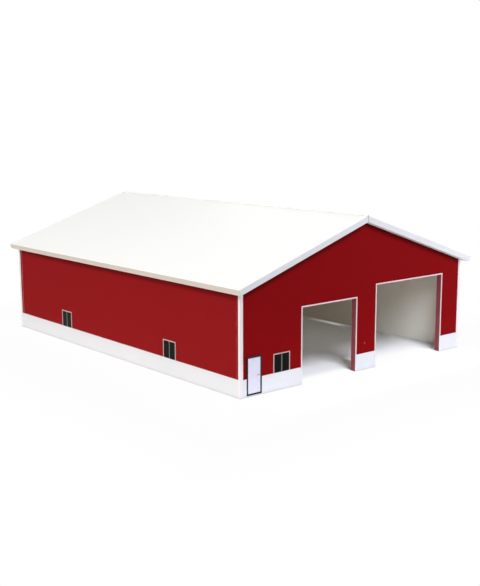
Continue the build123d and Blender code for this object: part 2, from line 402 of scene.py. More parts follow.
@filled_by(
    "GeometryNodeTree", "rows of copies",
    [("Geometry", GEOMETRY), ("Count", INTEGER), ("Start", VECTOR), ("Step", VECTOR),
     ("Rows", INTEGER), ("Row Step", VECTOR), ("Material", MATERIAL)],
    [("Geometry", GEOMETRY)])
def fill_rows(tree, given):
    """Copies the incoming mesh along rows of evenly spaced places."""
    row = rows_of(tree, given["Geometry"], given["Count"], given["Start"], given["Step"])
    rows = rows_of(tree, row, given["Rows"], (0.0, 0.0, 0.0), given["Row Step"])
    return made_real(tree, rows, given["Material"])


@filled_by(
    "GeometryNodeTree", "hinge knuckles",
    [("Geometry", GEOMETRY), ("Count", INTEGER), ("Start", VECTOR), ("Step", VECTOR),
     ("Knuckle Length", FLOAT), ("Material", MATERIAL)],
    [("Geometry", GEOMETRY)])
def fill_knuckles(tree, given):
    """Carries a rolled section along the ridge into knuckles, one in every step."""
    along = add_node(tree, "ShaderNodeCombineXYZ", {"Y": given["Knuckle Length"]})
    drawn = add_node(tree, "GeometryNodeExtrudeMesh", {
        "Mesh": given["Geometry"], "Offset": along.outputs["Vector"], "Offset Scale": 1.0,
        "Individual": False}, mode="FACES")
    near_end = add_node(tree, "GeometryNodeFlipFaces", {"Mesh": given["Geometry"]})
    both = tree.nodes.new("GeometryNodeJoinGeometry")
    for half in (drawn, near_end):
        tree.links.new(half.outputs["Mesh"], both.inputs["Geometry"])
    closed = add_node(tree, "GeometryNodeMergeByDistance", {
        "Geometry": both.outputs["Geometry"], "Distance": MERGE_DISTANCE}).outputs["Geometry"]
    row = rows_of(tree, closed, given["Count"], given["Start"], given["Step"])
    return made_real(tree, row, given["Material"])


# Finishes

# Most of a tone's values lie in its spread, and a shade is the share of a colour that is left
TONE_SPREAD = (0.3, 0.7)
# Share of the red that is left in the painted shade under the roof
PAINTED_SHADE_SHARE = 0.3
FIBRE_SHADE = 0.55
STRIP_DUST_HEIGHT = 3 * MM
RIDGE_BLEND = 5 * MM


class Paint:
    """A material in the making."""

    def __init__(self, name, **shader_values):
        self.material = bpy.data.materials.new(name)
        self.material.use_nodes = True
        self.tree = self.material.node_tree
        self.shader = self.tree.nodes["Principled BSDF"]
        self.place = self.tree.nodes.new("ShaderNodeTexCoord").outputs["Object"]
        for key, value in shader_values.items():
            self.shader.inputs[key.replace("_", " ")].default_value = value

    def add(self, group, **inputs):
        """A shared group at every point of the surface. Returns its outputs."""
        given = {key.replace("_", " "): value for key, value in inputs.items()}
        node = add_node(
            self.tree, "ShaderNodeGroup", {"Vector": self.place, **given}, node_tree=shared_tree(group))
        return node.outputs

    def mix(self, factor, first, second):
        """Two colours blended."""
        inputs = {0: factor, 6: first, 7: second}
        return add_node(self.tree, "ShaderNodeMix", inputs, data_type="RGBA").outputs[2]

    def finished(self, colour, height, tone, depth, rough):
        """The material with its colour, bumps of a depth in metres and a roughness that follows a tone."""
        bumps = add_node(self.tree, "ShaderNodeBump", {"Height": height, "Distance": depth})
        self.tree.links.new(colour, self.shader.inputs["Base Color"])
        self.tree.links.new(ramp(self.tree, tone, *TONE_SPREAD, *rough), self.shader.inputs["Roughness"])
        self.tree.links.new(bumps.outputs["Normal"], self.shader.inputs["Normal"])
        return self.material


def colour_of(key):
    """One of the colours that a user may change."""
    return getattr(bpy.context.scene.shed_colours, key)


def scaled(colour, share):
    """A darker colour."""
    return [share * channel for channel in colour]


def paint_chip(paint, sizes):
    """One where a small chip has come off the front gable."""
    away = add_node(paint.tree, "ShaderNodeVectorMath", {
        0: paint.place, 1: sizes.chip_place}, operation="DISTANCE")
    outer, inner = 1.2 * sizes.chip_radius, 0.8 * sizes.chip_radius
    return ramp(paint.tree, away.outputs["Value"], outer, inner)


def painted_roof_shade(paint, sizes):
    """Painted shade under the roof: one on the walls right under it, and nothing a little lower. The left slope
    has a wider band.
    """
    tree = paint.tree
    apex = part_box("front_gable_wall")[1].z
    split = split_place(tree, paint.place)
    drop = times(tree, maths(tree, "ABSOLUTE", split["X"]), ROOF_SLOPE)
    below = maths(tree, "SUBTRACT", maths(tree, "SUBTRACT", apex, drop), split["Z"])
    wider = ramp(tree, split["X"], RIDGE_BLEND, -RIDGE_BLEND, 0.0, sizes.dirt_left_extra)
    return ramp(tree, maths(tree, "SUBTRACT", below, wider), 0.0, sizes.dirt_reach, 1.0, 0.0)


def red_paint(name, red, dirt):
    """Matt red wall paint, rubbed a little on the arrises, with one small chip and painted shade under the roof.
    """
    sizes = bpy.context.scene.shed_sizes
    paint = Paint(name, Specular_IOR_Level=0.015)
    tone = paint.add("slow tone", Colour=red, Patch_Size=0.06, Amount=0.05)
    speckle = paint.add("slow tone", Colour=tone["Colour"], Patch_Size=0.0016, Amount=0.06)
    wear = paint.add("arris wear", Amount=0.55)
    peel = paint.add("surface peel", Grain_Size=0.0009)
    worn = paint.mix(wear["Mask"], speckle["Colour"], colour_of("worn_red"))
    chipped = paint.mix(paint_chip(paint, sizes), worn, colour_of("chipped_red"))
    # Painted shade: the red darkens towards the roof's underside
    shaded_under_roof = times(paint.tree, painted_roof_shade(paint, sizes), dirt)
    colour = paint.mix(shaded_under_roof, chipped, scaled(red, PAINTED_SHADE_SHARE))
    return paint.finished(colour, peel["Height"], tone["Tone"], depth=0.00006, rough=(0.5, 0.62))


def inside_paint(name, white):
    """Matt white paint inside."""
    paint = Paint(name, Specular_IOR_Level=0.25)
    tone = paint.add("slow tone", Colour=white, Patch_Size=0.05, Amount=0.03)
    peel = paint.add("surface peel", Grain_Size=0.0011)
    return paint.finished(tone["Colour"], peel["Height"], tone["Tone"], depth=0.00006, rough=(0.6, 0.75))


def cut_edge_stain(name, stain):
    """Stained fibres on the cut edges of the wall boards."""
    paint = Paint(name, Specular_IOR_Level=0.2)
    fibres = paint.add("board fibres", Fibre_Width=0.0005, Stretch=(0.6, 1.0, 0.25))
    tone = paint.add("slow tone", Colour=stain, Patch_Size=0.012, Amount=0.12)
    darker = paint.add("slow tone", Colour=scaled(stain, FIBRE_SHADE), Patch_Size=0.004, Amount=0.1)
    streaks = times(paint.tree, fibres["Streak"], 0.45)
    colour = paint.mix(streaks, tone["Colour"], darker["Colour"])
    return paint.finished(colour, fibres["Height"], tone["Tone"], depth=0.00012, rough=(0.68, 0.85))


def roof_paint(name, white):
    """Satin white paint on the roof, rolled on."""
    paint = Paint(name, Specular_IOR_Level=0.3)
    tone = paint.add("slow tone", Colour=white, Patch_Size=0.09, Amount=0.02)
    wear = paint.add("arris wear", Patch_Size=0.009, Amount=0.35)
    peel = paint.add("surface peel", Grain_Size=0.0014, Coarse_Share=0.5)
    colour = paint.mix(wear["Mask"], tone["Colour"], colour_of("dust"))
    return paint.finished(colour, peel["Height"], tone["Tone"], depth=0.00007, rough=(0.42, 0.55))


def roof_edge_paint(name, white):
    """The same paint, soaked into the boards' cut edges."""
    paint = Paint(name, Specular_IOR_Level=0.25)
    fibres = paint.add("board fibres", Fibre_Width=0.0007, Stretch=(0.3, 0.3, 1.0))
    tone = paint.add("slow tone", Colour=white, Patch_Size=0.02, Amount=0.04)
    streaks = times(paint.tree, fibres["Streak"], 0.12)
    colour = paint.mix(streaks, tone["Colour"], colour_of("dust"))
    return paint.finished(colour, fibres["Height"], fibres["Streak"], depth=0.00008, rough=(0.55, 0.7))


def strip_plastic(name, white, roughness):
    """White styrene strip with cut edges, dusty where it meets the floor."""
    paint = Paint(name, Specular_IOR_Level=0.35)
    tone = paint.add("slow tone", Colour=white, Patch_Size=0.03, Amount=0.02)
    dust = paint.add("foot dust", Height=STRIP_DUST_HEIGHT, Amount=0.3)
    wear = paint.add("arris wear", Patch_Size=0.005, Amount=0.3)
    peel = paint.add("surface peel", Grain_Size=0.0022, Coarse_Share=0.7)
    either = maths(paint.tree, "MAXIMUM", dust["Mask"], times(paint.tree, wear["Mask"], 0.4))
    colour = paint.mix(either, tone["Colour"], colour_of("dust"))
    rough = (roughness - 0.06, roughness + 0.08)
    return paint.finished(colour, peel["Height"], tone["Tone"], depth=0.00003, rough=rough)


def plain_plastic(name, plain, roughness, specular, grain=0.001):
    """A small moulded or cut plastic piece."""
    paint = Paint(name, Specular_IOR_Level=specular)
    tone = paint.add("slow tone", Colour=plain, Patch_Size=0.005, Amount=0.06)
    wear = paint.add("arris wear", Patch_Size=0.003, Amount=0.4)
    peel = paint.add("surface peel", Grain_Size=grain)
    lighter = [min(1.0, 1.35 * channel + 0.02) for channel in plain]
    colour = paint.mix(wear["Mask"], tone["Colour"], lighter)
    rough = (roughness - 0.05, roughness + 0.07)
    return paint.finished(colour, peel["Height"], tone["Tone"], depth=0.00002, rough=rough)


def metal(name, bare, roughness, stretch):
    """Bare drawn metal, with fine lines along its length."""
    paint = Paint(name, Metallic=1.0)
    lines = paint.add("board fibres", Fibre_Width=0.0001, Stretch=stretch)
    tone = paint.add("slow tone", Colour=bare, Patch_Size=0.002, Amount=0.1)
    rough = (roughness - 0.06, roughness + 0.1)
    return paint.finished(tone["Colour"], lines["Height"], lines["Streak"], depth=0.00001, rough=rough)


FINISHES = {
    # Each red carries painted shade under the roof, full on the gables and weaker on the long walls
    "gable red paint": (red_paint, "gable_red", dict(dirt=1.0)),
    "side red paint": (red_paint, "side_red", dict(dirt=0.35)),
    "wall inside paint": (inside_paint, "wall_inside", {}),
    "wall cut edge": (cut_edge_stain, "cut_edge", {}),
    "roof paint": (roof_paint, "roof_white", {}),
    "roof edge paint": (roof_edge_paint, "roof_edge", {}),
    "roof eave paint": (roof_edge_paint, "roof_eave", {}),
    "foot band plastic": (strip_plastic, "band_white", dict(roughness=0.34)),
    "corner strip plastic": (strip_plastic, "corner_white", dict(roughness=0.38)),
    "bay strip plastic": (strip_plastic, "trim_white", dict(roughness=0.42)),
    "hinge enamel": (plain_plastic, "enamel_white", dict(roughness=0.3, specular=0.5)),
    "door panel plastic": (plain_plastic, "door_white", dict(roughness=0.34, specular=0.35)),
    "door frame plastic": (plain_plastic, "frame_black", dict(roughness=0.45, specular=0.2)),
    "window frame plastic": (plain_plastic, "frame_white", dict(roughness=0.45, specular=0.3)),
    "window stile plastic": (plain_plastic, "stile_grey", dict(roughness=0.45, specular=0.25)),
    "window pane film": (plain_plastic, "pane_dark", dict(roughness=0.2, specular=0.05, grain=0.004)),
    "lever lacquer": (plain_plastic, "lever_grey", dict(roughness=0.3, specular=0.5, grain=0.0004)),
    "drawn steel": (metal, "steel", dict(roughness=0.3, stretch=(1.0, 0.05, 1.0))),
    "brass": (metal, "brass", dict(roughness=0.28, stretch=(1.0, 1.0, 1.0))),
}


def finish(name):
    """A finish by name, made the first time that a piece asks for it."""
    made = bpy.data.materials.get(name)
    if made:
        return made
    maker, key, values = FINISHES[name]
    return maker(name, colour_of(key), **values)


# Pieces

# Angles between faces that count as flat or as sharp, and how far a normal leans one way at least
FLAT_ANGLE = math.radians(0.5)
SHARP_ANGLE = math.radians(30)
BOARD_FACE_LEAN = 0.35
ROOF_FACE_LEAN = 0.6


def seat_piece(name, mesh, finishes, node):
    """A mesh as a piece of the scene, with its finishes, in the place of its CAD node."""
    if not mesh.polygons:
        raise RuntimeError(name + " has no faces")
    piece = bpy.data.objects.new(name, mesh)
    bpy.context.scene.collection.objects.link(piece)
    if not mesh.materials:
        for finish_name in finishes:
            mesh.materials.append(finish(finish_name))
    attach(piece, BODY_OF_NODE[node])
    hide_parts(node)


def mesh_of(shape, name):
    """A shape as a mesh. The shape is spent."""
    mesh = bpy.data.meshes.new(name)
    shape.to_mesh(mesh)
    shape.free()
    return mesh


def merged_copy(node):
    """The node's mesh with its loose triangles joined and its flat faces made whole."""
    shape = bmesh.new()
    shape.from_mesh(NODES[node].data)
    bmesh.ops.remove_doubles(shape, verts=shape.verts, dist=MERGE_DISTANCE)
    bmesh.ops.dissolve_limit(shape, angle_limit=FLAT_ANGLE, verts=shape.verts, edges=shape.edges)
    return shape


def ease_arrises(shape, radius):
    """Rounds the long sharp edges and marks the new faces, so that the finish can wear them."""
    mark = shape.faces.layers.float.get("arris") or shape.faces.layers.float.new("arris")
    shortest = 3 * radius
    sharp = [edge for edge in shape.edges
             if len(edge.link_faces) == 2 and edge.calc_length() > shortest
             and edge.calc_face_angle() > SHARP_ANGLE]
    eased = bmesh.ops.bevel(
        shape, geom=sharp, offset=radius, offset_type="OFFSET", segments=2, profile=0.5,
        affect="EDGES", clamp_overlap=True)
    for face in eased["faces"]:
        face[mark] = 1.0


def eased_piece(node, name, radius, finishes, choose=None):
    """A CAD node's copy with its arrises eased, standing in its place."""
    shape = merged_copy(node)
    ease_arrises(shape, radius)
    if choose:
        for face in shape.faces:
            face.material_index = choose(face)
    seat_piece(name, mesh_of(shape, name), finishes, node)


def by_direction(outward, half_width):
    """Chooses the finish of a wall's face: outside, inside, cut edge, or the end of a gable board."""
    direction = Vector(outward)

    def choose(face):
        along = face.normal.dot(direction)
        if along > BOARD_FACE_LEAN:
            return 0
        if along < -BOARD_FACE_LEAN:
            return 1
        return 3 if abs(face.calc_center_median().x) > half_width - MM else 2
    return choose


def roof_face(face):
    """The finish of a roof board's flat faces, of its edges over the gables, or of its eave."""
    if abs(face.normal.z) > ROOF_FACE_LEAN:
        return 0
    # Eave faces take the darker copy of the edge paint, partly painted shade
    return 1 if abs(face.normal.y) > abs(face.normal.x) else 2


def lathe(profile, turns=16):
    """A shape turned about Z from points of radius and height."""
    shape = bmesh.new()
    ring = [shape.verts.new((radius, 0.0, height)) for radius, height in profile]
    edges = [shape.edges.new(pair) for pair in zip(ring, ring[1:])]
    bmesh.ops.spin(
        shape, geom=ring + edges, cent=(0, 0, 0), axis=(0, 0, 1), angle=2 * math.pi, steps=turns)
    bmesh.ops.remove_doubles(shape, verts=shape.verts, dist=MERGE_DISTANCE)
    bmesh.ops.recalc_face_normals(shape, faces=shape.faces)
    return shape


def nail(shank_radius, head_radius, head_rise, length, dome_steps=4):
    """A nail with its head up and its point down. The head's underside is at zero."""
    angles = [step * math.pi / 2 / dome_steps for step in range(dome_steps)]
    dome = [(head_radius * math.cos(angle), head_rise * math.sin(angle)) for angle in angles]
    point = 2.5 * shank_radius - length
    return lathe([(0.0, -length), (shank_radius, point), (shank_radius, 0.0), *dome, (0.0, head_rise)])


def grown_mesh(name, shape, tree_name, values):
    """The plain mesh that a Geometry Nodes tree makes of a shape."""
    start = bpy.data.objects.new(name + "_start", mesh_of(shape, name + "_start"))
    bpy.context.scene.collection.objects.link(start)
    modifier = start.modifiers.new(tree_name, "NODES")
    modifier.node_group = shared_tree(tree_name)
    for item in modifier.node_group.interface.items_tree:
        if item.in_out == "INPUT" and item.name in values:
            modifier[item.identifier] = values[item.name]
    depsgraph = bpy.context.evaluated_depsgraph_get()
    grown = bpy.data.meshes.new_from_object(start.evaluated_get(depsgraph), depsgraph=depsgraph)
    start.modifiers.remove(modifier)
    bpy.data.objects.remove(start)
    grown.name = name
    return grown


class SHED_OT_walls(bpy.types.Operator):
    """Makes the four wall boards, red outside, white inside and stained on the bays' cut edges"""
    bl_idname = "shed.make_walls"
    bl_label = "Wall boards"

    def execute(self, context):
        outward = {"front_gable_wall": (0, -1, 0), "rear_gable_wall": (0, 1, 0),
                   "left_side_wall": (-1, 0, 0), "right_side_wall": (1, 0, 0)}
        half_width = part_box("front_gable_wall")[1].x
        for node, direction in outward.items():
            # Gables take the darker, shaded copy of the red and the long walls the greyer, sheened copy of the
            # same paint
            red = "gable red paint" if "gable" in node else "side red paint"
            eased_piece(
                node, node.replace("_wall", "_board"), context.scene.shed_sizes.board_ease,
                [red, "wall inside paint", "wall cut edge", "side red paint"],
                by_direction(direction, half_width))
        return {"FINISHED"}


class SHED_OT_roof(bpy.types.Operator):
    """Makes the two roof boards"""
    bl_idname = "shed.make_roof"
    bl_label = "Roof boards"

    def execute(self, context):
        for side in ("left", "right"):
            eased_piece(
                "roof_board_" + side, "roof_" + side, context.scene.shed_sizes.board_ease,
                ["roof paint", "roof edge paint", "roof eave paint"], roof_face)
        return {"FINISHED"}


class SHED_OT_strips(bpy.types.Operator):
    """Makes the foot bands, the corner strips and the strips around the bays"""
    bl_idname = "shed.make_strips"
    bl_label = "Bands and strips"

    def execute(self, context):
        strips = (("foot_band", "band", "foot band plastic"),
                  ("corner_strip", "corner", "corner strip plastic"),
                  ("bay_strip", "bay_trim", "bay strip plastic"))
        for node in sorted(NODES):
            for words, short, plastic in strips:
                if words in node:
                    name = node.replace(words, short)
                    eased_piece(node, name, context.scene.shed_sizes.strip_ease, [plastic])
        return {"FINISHED"}


def rolled_section(side, sizes, knuckle_radius, steps=24):
    """The section of one knuckle: the sheet rises from the leaf and rolls over the pin, almost closed."""
    inner = knuckle_radius - sizes.leaf_thickness
    start_angle = math.radians(-55)
    sweep = 1.5 * math.pi - sizes.knuckle_seam - start_angle
    drop = knuckle_radius + sizes.knuckle_relief
    face = sizes.leaf_gap / 2
    pairs = [((side * (face + sizes.leaf_thickness), -drop), (side * face, -drop))]
    for step in range(steps + 1):
        angle = start_angle + sweep * step / steps
        across = side * math.cos(angle)
        up = math.sin(angle)
        pairs.append(((knuckle_radius * across, knuckle_radius * up), (inner * across, inner * up)))
    shape = bmesh.new()
    rows = [[shape.verts.new((x, 0.0, RIDGE_Z + z)) for x, z in pair] for pair in pairs]
    for (a, b), (c, d) in zip(rows, rows[1:]):
        shape.faces.new((a, b, d, c))
    bmesh.ops.recalc_face_normals(shape, faces=shape.faces)
    if shape.faces[:][0].normal.y < 0:
        bmesh.ops.reverse_faces(shape, faces=shape.faces)
    return shape


def add_eased_block(shape, low, high, radius):
    """Adds a box with eased arrises to a shape."""
    size = Vector(high) - Vector(low)
    middle = (Vector(high) + Vector(low)) / 2
    block = bmesh.new()
    bmesh.ops.create_cube(
        block, size=1.0, matrix=Matrix.Translation(middle) @ Matrix.Diagonal((*size, 1.0)))
    ease_arrises(block, radius)
    carried = mesh_of(block, "carried")
    shape.from_mesh(carried)
    bpy.data.meshes.remove(carried)


class SHED_OT_hinge(bpy.types.Operator):
    """Makes the two leaves of the ridge hinge with their rolled knuckles, and the pin"""
    bl_idname = "shed.make_hinge"
    bl_label = "Ridge hinge"

    def execute(self, context):
        for node, side, first in (("hinge_leaf_fixed", 1, 0), ("hinge_leaf_moving", -1, 1)):
            self.make_leaf(context.scene.shed_sizes, node, side, first)
        self.make_pin()
        return {"FINISHED"}

    def make_leaf(self, sizes, node, side, first):
        """One leaf. The first knuckle is its own, or leaves room for the other leaf's."""
        low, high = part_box("hinge_leaf_fixed")
        radius = high.z - RIDGE_Z
        step = (high.y - low.y) / sizes.knuckle_count
        start = low.y + step * first + sizes.knuckle_gap / 2
        name = node.replace("hinge_leaf", "ridge_leaf")
        mesh = grown_mesh(name, rolled_section(side, sizes, radius), "hinge knuckles", {
            "Count": len(range(first, sizes.knuckle_count, 2)), "Start": (0.0, start, 0.0),
            "Step": (0.0, 2 * step, 0.0), "Knuckle Length": step - sizes.knuckle_gap,
            "Material": finish("hinge enamel")})
        shape = bmesh.new()
        shape.from_mesh(mesh)
        face = sizes.leaf_gap / 2
        near, far = sorted((side * face, side * (face + sizes.leaf_thickness)))
        top = RIDGE_Z - radius - sizes.knuckle_relief
        add_eased_block(shape, (near, low.y, low.z), (far, high.y, top), sizes.small_ease)
        shape.to_mesh(mesh)
        shape.free()
        seat_piece(name, mesh, ["hinge enamel"], node)

    def make_pin(self):
        """The pin, with both ends domed."""
        low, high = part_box("hinge_pin")
        radius = (high.x - low.x) / 2
        reach = high.y - low.y
        dome, crown = 0.5 * radius, 0.125 * radius
        shape = lathe([
            (0.0, 0.0), (0.6 * radius, crown), (radius, dome), (radius, reach - dome),
            (0.6 * radius, reach - crown), (0.0, reach)])
        turn = Matrix.Rotation(math.radians(-90), 4, "X")
        shape.transform(Matrix.Translation((0.0, low.y, RIDGE_Z)) @ turn)
        seat_piece("ridge_pin", mesh_of(shape, "ridge_pin"), ["drawn steel"], "hinge_pin")


class SHED_OT_nails(bpy.types.Operator):
    """Makes the nails of the hinge and of the wall corners, in rows"""
    bl_idname = "shed.make_nails"
    bl_label = "Nails"

    def execute(self, context):
        sizes = context.scene.shed_sizes
        for node, side in (("hinge_nails_fixed", 1), ("hinge_nails_moving", -1)):
            self.make_hinge_row(sizes, node, side)
        for node, end in (("wall_nails_front", -1), ("wall_nails_rear", 1)):
            self.make_wall_rows(sizes, node, end)
        return {"FINISHED"}

    def make_hinge_row(self, sizes, node, side):
        """One row of nails, driven sideways through a leaf into its board."""
        low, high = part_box(node)
        outer, inner = (high.x, low.x) if side > 0 else (low.x, high.x)
        head = sizes.nail_head_radius
        head_rise = sizes.hinge_nail_rise
        shape = nail(sizes.nail_radius, head, head_rise, abs(outer - inner) - head_rise)
        shape.transform(Matrix.Rotation(math.radians(-90 * side), 4, "Y"))
        step = (high.y - low.y - 2 * head) / (sizes.hinge_nail_count - 1)
        self.seat_rows(node + "_row", node, shape, "brass", {
            "Count": sizes.hinge_nail_count, "Step": (0.0, step, 0.0),
            "Start": (inner + side * head_rise, low.y + head, (low.z + high.z) / 2),
            "Rows": 1, "Row Step": (0.0, 0.0, 0.0)})

    def make_wall_rows(self, sizes, node, end):
        """One row of nails up each corner of a gable, driven through it into the side walls."""
        low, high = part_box(node)
        face = high.y if end > 0 else low.y
        head, head_rise = sizes.nail_head_radius, sizes.wall_nail_rise
        shape = nail(sizes.wall_nail_radius, head, head_rise, high.y - low.y - head_rise)
        shape.transform(Matrix.Rotation(math.radians(-90 * end), 4, "X"))
        step = (high.z - low.z - 2 * head) / (sizes.wall_nail_count - 1)
        self.seat_rows(node + "_rows", node, shape, "drawn steel", {
            "Count": sizes.wall_nail_count, "Step": (0.0, 0.0, step),
            "Start": (low.x + head, face - end * head_rise, low.z + head),
            "Rows": 2, "Row Step": (high.x - low.x - 2 * head, 0.0, 0.0)})

    def seat_rows(self, name, node, shape, finish_name, values):
        """Copies of one nail as a piece."""
        mesh = grown_mesh(name, shape, "rows of copies", {**values, "Material": finish(finish_name)})
        seat_piece(name, mesh, [finish_name], node)


class SHED_OT_door(bpy.types.Operator):
    """Makes the walk door: frame, panel and lever"""
    bl_idname = "shed.make_door"
    bl_label = "Walk door"

    def execute(self, context):
        sizes = context.scene.shed_sizes
        for part in ("frame", "panel"):
            plastic = "door " + part + " plastic"
            eased_piece("walk_door_" + part, "door_" + part, sizes.small_ease, [plastic])
        self.make_lever(sizes.lever_bar)
        return {"FINISHED"}

    def make_lever(self, bar):
        """A round rose with a neck, and a bar across its end."""
        low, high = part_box("walk_door_lever")
        rose = (high.z - low.z) / 2
        middle_x = high.x - rose
        middle_z = (low.z + high.z) / 2
        half, neck = bar / 2, high.y - low.y - bar / 2
        shape = lathe([(0.0, 0.0), (rose, 0.0), (rose, 0.2 * rose), (0.8 * rose, 0.42 * rose),
                       (half, 0.43 * rose), (half, neck), (0.0, neck)])
        turn = Matrix.Rotation(math.radians(90), 4, "X")
        shape.transform(Matrix.Translation((middle_x, high.y, middle_z)) @ turn)
        add_eased_block(
            shape, (low.x, low.y, middle_z - half), (middle_x + half, low.y + bar, middle_z + half),
            0.3 * bar)
        seat_piece("door_lever", mesh_of(shape, "door_lever"), ["lever lacquer"], "walk_door_lever")


class SHED_OT_windows(bpy.types.Operator):
    """Makes every window: frame, meeting stile and two panes"""
    bl_idname = "shed.make_windows"
    bl_label = "Windows"

    def execute(self, context):
        finishes = {"frame": "window frame plastic", "stile": "window stile plastic",
                    "panes": "window pane film"}
        for node in sorted(NODES):
            if "window" in node:
                part = node.rpartition("_")[2]
                ease = context.scene.shed_sizes.small_ease
                eased_piece(node, node + "_eased", ease, [finishes[part]])
        return {"FINISHED"}


# Studio

KEY_PLACE = (-0.4, -1.15, 1.25)
FRONT_AIM = (0.0, -0.17, 0.03)
SOFTBOXES = {
    "top": dict(place=(0.0, 0.1, 1.6), aim=(0.0, 0.0, 0.0), size=1.2),
    "key": dict(place=KEY_PLACE, aim=FRONT_AIM, size=0.6, tint="cool_light"),
    "floor": dict(place=KEY_PLACE, aim=FRONT_AIM, size=0.6, tint="cool_light"),
    "front": dict(place=(0.25, -1.7, 0.45), aim=FRONT_AIM, size=0.7, tint="cool_light"),
    "left": dict(place=(-1.6, 0.15, 0.35), aim=(-0.1, 0.0, 0.05), size=0.9, tint="warm_light"),
    "high_left": dict(place=(-1.2, -0.15, 1.12), aim=(-0.1, 0.0, 0.08), size=0.5, tint="warm_light"),
    "near": dict(place=(0.4, -0.6, 0.22), aim=(0.06, -0.19, 0.06), size=0.25, tint="cool_light"),
    "back": dict(place=(1.3, 1.25, 0.6), aim=(0.0, 0.0, 0.05), size=0.8),
    "inside": dict(place=(0.0, -0.01, 0.084), aim=(0.0, -0.011, 0.0), size=0.2, tint="inside_light"),
    "bay": dict(place=(-0.6, -1.1, 0.75), aim=(0.13, -0.12, 0.03), size=0.5, tint="bay_light"),
}
# Lamp, object, and whether the lamp lights it alone or everything else
LAMP_LINKS = (("floor", "floor", "INCLUDE"), ("bay", "right_side_board", "INCLUDE"),
              ("near", "floor", "EXCLUDE"))
PAPER_REACH = 6.0
# Where the floor's paper changes, in metres outward from the walls
TONED_DOWN = (0.03, 0.1)
# Reach of the painted contact shadow at the walls' foot
CONTACT_SHADOW_REACH = (0.0018, 0.0008)
CONTACT_LIFTED = (-0.001, 0.0)
NEAR_LIFTED = (0.0006, 0.0022)
FAR_LIFTED = (0.02, 0.2)
# Where the streak of light and the shade start and end, in metres from the right wall and the front
STREAK_ACROSS = ((0.0, 0.006), (0.014, 0.006))
STREAK_ALONG = ((0.138, 0.158), (0.208, 0.165))
SHADE_ACROSS = (0.016, 0.003)
SHADE_ALONG = (0.08, 0.045)


def seen_directly(tree):
    """One for rays from the camera, also by way of gloss or glass, and nothing for light on matt faces."""
    paths = tree.nodes.new("ShaderNodeLightPath").outputs
    gloss = maths(tree, "MAXIMUM", paths["Is Camera Ray"], paths["Is Glossy Ray"])
    return maths(tree, "MAXIMUM", gloss, paths["Is Transmission Ray"])


